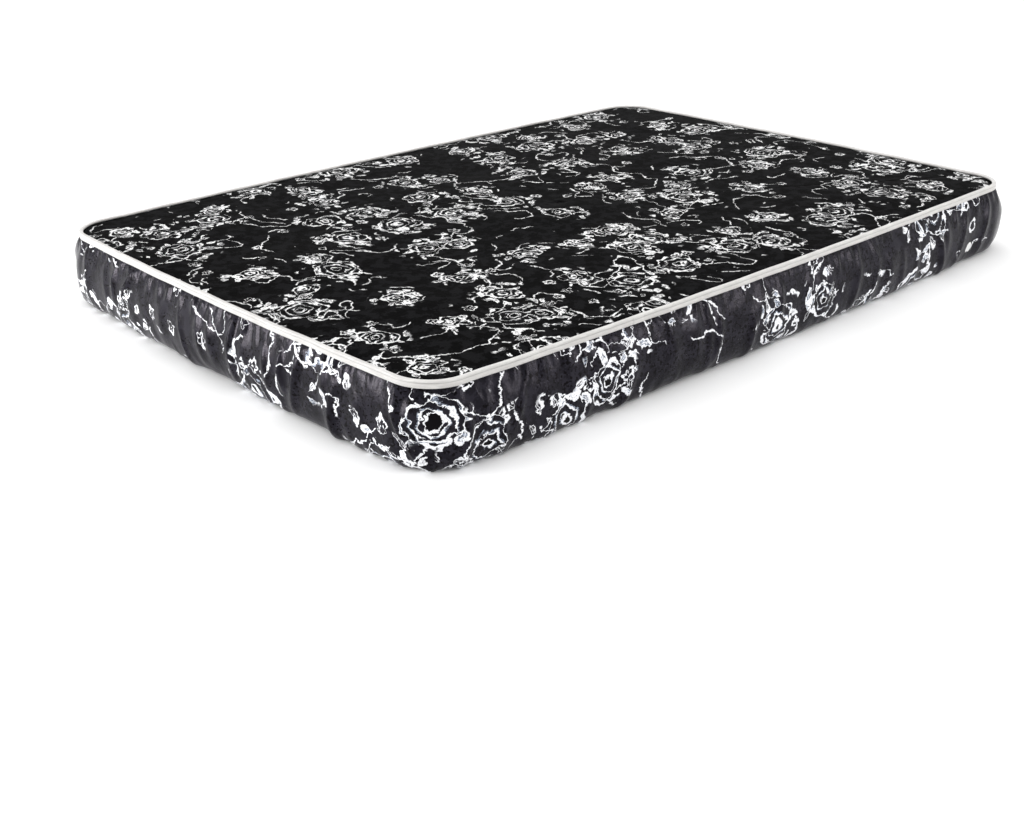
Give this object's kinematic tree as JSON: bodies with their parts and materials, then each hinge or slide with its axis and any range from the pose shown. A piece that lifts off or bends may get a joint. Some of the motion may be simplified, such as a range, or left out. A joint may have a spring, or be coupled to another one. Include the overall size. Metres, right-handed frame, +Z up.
{
  "type": "foam futon mattress",
  "caption": "Thin foam mattress in a dark floral satin cover with a bulging gathered border, white binding tape round the top edge, plain flat underside and a zip across one short end.",
  "frame": {"origin": "centre of the underside, on the surface that the mattress lies on", "axes": "+X along the length, towards the zipped end; +Y across the width; +Z up"},
  "size_m": [2, 1.4, 0.18],
  "materials": {
    "printed_satin": "satin",
    "underside_cloth": "matte",
    "binding_tape": "satin",
    "foam": "matte",
    "polyester_fibre": "matte",
    "zip_tape": "matte",
    "zip_nylon": "satin",
    "zip_metal": "gloss",
    "label_cloth": "satin"
  },
  "bodies": {
    "mattress": {"foam_core": "foam", "wadding_top": "polyester_fibre", "wadding_bottom": "polyester_fibre", "wadding_side": "polyester_fibre", "top_panel": "printed_satin", "bottom_panel": "underside_cloth", "border_strip": "printed_satin", "border_end_upper": "printed_satin", "border_end_lower": "printed_satin", "edge_tape": "binding_tape", "care_label": "label_cloth", "zip_tape_upper": "zip_tape", "zip_tape_lower": "zip_tape", "zip_coil_upper": "zip_nylon", "zip_coil_lower": "zip_nylon", "zip_stop_closed": "zip_metal", "zip_stop_open": "zip_metal"},
    "zip_slider": {"zip_slider": "zip_metal"},
    "zip_puller": {"zip_puller": "zip_metal"}
  },
  "joints": [
    {"name": "zip_slide", "type": "slide", "parent": "mattress", "child": "zip_slider", "axis": [0, 1, 0], "range_m": [-1.079, 0]},
    {"name": "puller_swing", "type": "hinge", "parent": "zip_slider", "child": "zip_puller", "pos_m": [0.9976, 0.5395, 0.085], "axis": [0, 0, 1], "range_deg": [0, 170]}
  ]
}
